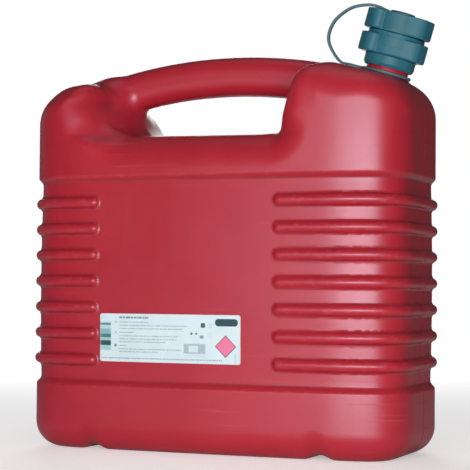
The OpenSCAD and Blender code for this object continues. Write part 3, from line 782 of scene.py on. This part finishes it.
def cap(a, b, t):
    r, th = np.hypot(a, b), np.arctan2(b, a) % (2 * np.pi)
    dome = t - (63.6 - 0.5 * np.clip(r / 30, 0, 1) ** 2 * step((r - 9) / 14))
    low = rmin(rmax(lobed(a, b), 43.6 - t, 2.6), rmax(r - GRIP_R, 43.5 - t, 0.5), 0.2)
    d = rmax(low, dome, 1.5)
    rim = ring_of(r, t, 24.6, 63.55, 0.9)
    d = rmax(d, -rim, 0.3)
    stem = np.maximum(np.maximum(r - 3.4, t - 66.8), 62 - t)
    d = rmin(d, stem, 0.1)
    head = rmax(rmax(r - 13.0, t - 66.9 + 0.7 * (r / 13) ** 2, 0.35), 65.8 - t, 0.15)
    d = np.minimum(d, head)
    bore = rmax(r - 20.8, t - 60.6, 0.4)
    bore = np.maximum(bore, -thread(r, th, t, 21.6, 19.2, 48.5, 56.5, 4.0, 3.0, 0.9))
    return rmax(d, -bore, 0.3)

def closure(name, f, lo, hi, h, body, node):
    ax = [axis(l, u, h) for l, u in zip(lo, hi)]
    V, Q = nets(f, ax)
    me = mesh_of(name, to_world(V), Q)
    cv = curvature(f, V, 0.9)
    # corner normals turned into the can's frame
    N = unit(gradient(f, V, 0.12))
    c, s = math.cos(TILT), math.sin(TILT)
    N = np.stack([N[:, 0] * c + N[:, 2] * s, N[:, 1], -N[:, 0] * s + N[:, 2] * c], 1)
    smooth(me)
    me.normals_split_custom_set_from_vertices(N.astype(np.float32))
    scalar(me, "edge", np.clip(cv / 0.9, 0, 1))
    # concave creases, which the material darkens as painted shade
    scalar(me, "crease", np.clip(-cv / 1.6, 0, 1))
    return piece(name, me, body, TEAL, "closure_teal", node)

hc = 0.85
closure("union_nut_body", nut, (-39, -39, 7), (39, 39, 60), hc, "collar", "union_nut")
closure("screw_cap_body", cap, (-39, -39, 41.6), (39, 39, 69), hc, "cap", "screw_cap")

# ---------------------------------------------------------------- tether: ring, bent strap, eyelet
def slab(d2, t, t0, t1, r):
    return rmax(rmax(d2, t - t1, r), t0 - t, r)

def tether_ring_f(a, b, t):
    r = np.hypot(a, b)
    disc = r - 24.9
    tab = rrect(a + 33, b, 11, 3.6, 3.0)
    d = rmin(disc, tab, 3.0)
    d = rmax(d, 22.95 - r, 0.2)
    return slab(d, t, 2.62, 5.5, 0.6)

def eyelet_f(a, b, t):
    r = np.hypot(a, b)
    d = rmin(r - 12.6, rrect(a + 9.5, b, 6.5, 2.9, 1.3), 2.0)
    d = rmax(d, 3.8 - r, 0.2)
    return slab(d, t, 63.75, 65.65, 0.5)

def soft_part(name, f, lo, hi, h, body, node):
    V, Q = nets(f, [axis(l, u, s) for l, u, s in zip(lo, hi, h)])
    me = mesh_of(name, to_world(V), Q)
    N = unit(gradient(f, V, 0.08))
    c, s = math.cos(TILT), math.sin(TILT)
    N = np.stack([N[:, 0] * c + N[:, 2] * s, N[:, 1], -N[:, 0] * s + N[:, 2] * c], 1)
    smooth(me)
    me.normals_split_custom_set_from_vertices(N.astype(np.float32))
    return piece(name, me, body, STRAP, "strap_teal", node)

soft_part("tether_ring_band", tether_ring_f, (-46, -27, 2), (27, 27, 6.2), (0.8, 0.8, 0.35), "collar", "tether_ring")
soft_part("tether_eyelet_disc", eyelet_f, (-17.2, -14, 63.1), (14, 14, 66.3), (0.5, 0.5, 0.3), "eyelet", "tether_eyelet")

STRAP_PTS = np.array([(-44, 3.9), (-50.5, 4.9), (-59.5, 11.3), (-68, 21.5), (-70, 33), (-66, 46.3),
                      (-53.5, 60), (-37, 66.6), (-25, 66.9), (-16, 65.1)], float)
def strap_mesh():
    P = np.concatenate([[(-37, 3.9)], STRAP_PTS, [(-7, 65.1)]])
    run = [np.array((-42.6, 3.91))]
    for i in range(1, len(P) - 2):
        a, b, c, d = P[i - 1], P[i], P[i + 1], P[i + 2]
        for u in np.arange(10) / 10:
            run.append(0.5 * (2 * b + (c - a) * u + (2 * a - 5 * b + 4 * c - d) * u * u + (3 * b - a - 3 * c + d) * u ** 3))
    run += [P[-2], np.array((-14.5, 64.95))]
    run = np.array(run)
    tang = unit(np.gradient(run, axis=0))
    nrm = np.stack([-tang[:, 1], tang[:, 0]], 1)
    w, h, r, k = 2.3, 1.25, 0.6, 4
    sec = []
    for cx, cy, a0 in ((w - r, h - r, 0), (-w + r, h - r, 90), (-w + r, -h + r, 180), (w - r, -h + r, 270)):
        for q in range(k + 1):
            g = math.radians(a0 + 90 * q / k)
            sec.append((cx + r * math.cos(g), cy + r * math.sin(g)))
    # a shallow groove down each face
    sec = sec[:k + 1] + [(0.9, h), (0.45, h - 0.22), (-0.45, h - 0.22), (-0.9, h)] + sec[k + 1:3 * (k + 1)] + [(-0.9, -h), (-0.45, -h + 0.22), (0.45, -h + 0.22), (0.9, -h)] + sec[3 * (k + 1):]
    sec = np.array(sec)
    m, n = len(sec), len(run)
    V = np.zeros((n, m, 3))
    V[:, :, 0] = run[:, None, 0] + nrm[:, None, 0] * sec[None, :, 1]
    V[:, :, 2] = run[:, None, 1] + nrm[:, None, 1] * sec[None, :, 1]
    V[:, :, 1] = sec[None, :, 0]
    i, j = np.meshgrid(np.arange(n - 1), np.arange(m), indexing="ij")
    a, b = (i * m + j).ravel(), (i * m + (j + 1) % m).ravel()
    Q = np.stack([a, b, b + m, a + m], 1)
    me = bpy.data.meshes.new("strap")
    pts = (to_world(V.reshape(-1, 3)) * 0.001).tolist()
    faces = Q.tolist() + [list(range(m))[::-1], [(n - 1) * m + q for q in range(m)]]
    me.from_pydata(pts, [], faces)
    me.update()
    import bmesh
    bm = bmesh.new()
    bm.from_mesh(me)
    bmesh.ops.recalc_face_normals(bm, faces=bm.faces)
    bm.to_mesh(me)
    bm.free()
    smooth(me, 50)
    return me
strap = piece("tether_strap_band", strap_mesh(), None, STRAP, "strap_teal", "tether_strap")
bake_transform(strap)

# ---------------------------------------------------------------- pieces kept from the CAD
for node, mt in (("spout_flange", BLACK), ("spout_hose", BLACK), ("spout_nozzle", BLACK), ("cap_gasket", RUBBER), ("neck_gasket", RUBBER)):
    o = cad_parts[node]
    o.data.materials.clear()
    o.data.materials.append(mt)
for node, mt in (("tank_shell", RED), ("info_label", LABEL), ("union_nut", TEAL), ("screw_cap", TEAL),
                 ("tether_ring", STRAP), ("tether_strap", STRAP), ("tether_eyelet", STRAP)):
    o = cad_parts[node]
    o.data.materials.clear()
    o.data.materials.append(mt)

# ---------------------------------------------------------------- camera, light, floor
yaw, pitch, roll = math.radians(21.97), math.radians(1.96), math.radians(0.465)
loc = Vector((0.6033, -1.4953, 0.1642))
fwd = Vector((-math.sin(yaw) * math.cos(pitch), math.cos(yaw) * math.cos(pitch), math.sin(pitch)))
right = Vector((math.cos(yaw), math.sin(yaw), 0))
up = right.cross(fwd)
r2 = right * math.cos(roll) + up * math.sin(roll)
u2 = up * math.cos(roll) - right * math.sin(roll)
cam = bpy.data.cameras.new("camera")
cam.sensor_width, cam.lens = 36.0, 119.67
cam.clip_start, cam.clip_end = 0.05, 60.0
cam_o = bpy.data.objects.new("camera", cam)
M = Matrix((r2, u2, -fwd)).transposed().to_4x4()
M.translation = loc
cam_o.matrix_world = M
scene.collection.objects.link(cam_o)
scene.camera = cam_o

def area(name, at, aim, size, power, colour=(1, 1, 1)):
    l = bpy.data.lights.new(name, "AREA")
    l.energy, l.color = power, colour
    if len(size) == 2:
        l.shape, l.size, l.size_y = "RECTANGLE", size[0], size[1]
    else:
        l.shape, l.size = "DISK", size[0]
    o = bpy.data.objects.new(name, l)
    o.location = at
    o.rotation_mode = "QUATERNION"
    o.rotation_quaternion = (Vector(aim) - Vector(at)).to_track_quat("-Z", "Y")
    o.visible_camera = False
    scene.collection.objects.link(o)
    return o
mid = (0.0, 0.0, 0.22)
area("key_front", (0.50, -1.50, 0.25), mid, (1.38, 0.48), 27.0, (1.0, 0.985, 0.97))
area("fill_back", (-1.0, 2.3, 0.55), mid, (1.5,), 36.0)
area("fill_left", (-2.3, 0.7, 0.7), mid, (1.2,), 0.8)
area("fill_top", (0.1, 0.1, 2.4), mid, (1.6,), 2.8)

world = bpy.data.worlds.new("studio")
scene.world = world
world.use_nodes = True
nt = world.node_tree
nt.nodes.clear()
wo = nt.nodes.new("ShaderNodeOutputWorld")
b1, b2 = nt.nodes.new("ShaderNodeBackground"), nt.nodes.new("ShaderNodeBackground")
b1.inputs[0].default_value, b1.inputs[1].default_value = (0.92, 0.94, 0.96, 1), 0.08
b2.inputs[0].default_value, b2.inputs[1].default_value = (1, 1, 1, 1), 1.0
lp, mx = nt.nodes.new("ShaderNodeLightPath"), nt.nodes.new("ShaderNodeMixShader")
nt.links.new(lp.outputs["Is Camera Ray"], mx.inputs[0])
nt.links.new(b1.outputs[0], mx.inputs[1])
nt.links.new(b2.outputs[0], mx.inputs[2])
nt.links.new(mx.outputs[0], wo.inputs[0])

def floor():
    import bmesh
    bm = bmesh.new()
    rings, n = [0.0, 0.3, 0.6, 1.0, 1.6, 2.4, 3.4, 5.0], 96
    prev = [bm.verts.new((0, 0, 0))]
    for r in rings[1:]:
        cur = [bm.verts.new((r * math.cos(2 * math.pi * i / n), r * math.sin(2 * math.pi * i / n), 0)) for i in range(n)]
        for i in range(n):
            j = (i + 1) % n
            if len(prev) == 1:
                bm.faces.new((prev[0], cur[i], cur[j]))
            else:
                bm.faces.new((prev[i], cur[i], cur[j], prev[j]))
        prev = cur
    me = bpy.data.meshes.new("floor")
    bm.to_mesh(me)
    bm.free()
    m = Mat("floor_pale")
    c = m.mix(m.noise(3.0, 3.0, 0.5), (0.88, 0.88, 0.875), (0.93, 0.93, 0.93))
    m.set(Base_Color=c, Roughness=0.9)
    m.p.inputs["Specular IOR Level"].default_value = 0.1
    length = m.n("ShaderNodeVectorMath", operation="LENGTH")
    m.link(m.obj, length.inputs[0])
    clear = m.n("ShaderNodeBsdfTransparent")
    mixs = m.n("ShaderNodeMixShader")
    m.link(m.ramp(length.outputs["Value"], 0.6, 2.4), mixs.inputs[0])
    glow = m.n("ShaderNodeEmission")
    seen = m.n("ShaderNodeLightPath").outputs["Is Camera Ray"]
    m.link(m.math("MULTIPLY", seen, 0.42), glow.inputs["Strength"])
    both = m.n("ShaderNodeAddShader")
    m.link(m.p.outputs[0], both.inputs[0])
    m.link(glow.outputs[0], both.inputs[1])
    m.link(both.outputs[0], mixs.inputs[1])
    m.link(clear.outputs[0], mixs.inputs[2])
    m.link(mixs.outputs[0], m.out.inputs["Surface"])
    o = bpy.data.objects.new("floor", me)
    me.materials.append(m.m)
    o.location = (0, 0, -0.0003)
    scene.collection.objects.link(o)
floor()

scene.view_settings.view_transform = "Standard"
scene.view_settings.look = "None"
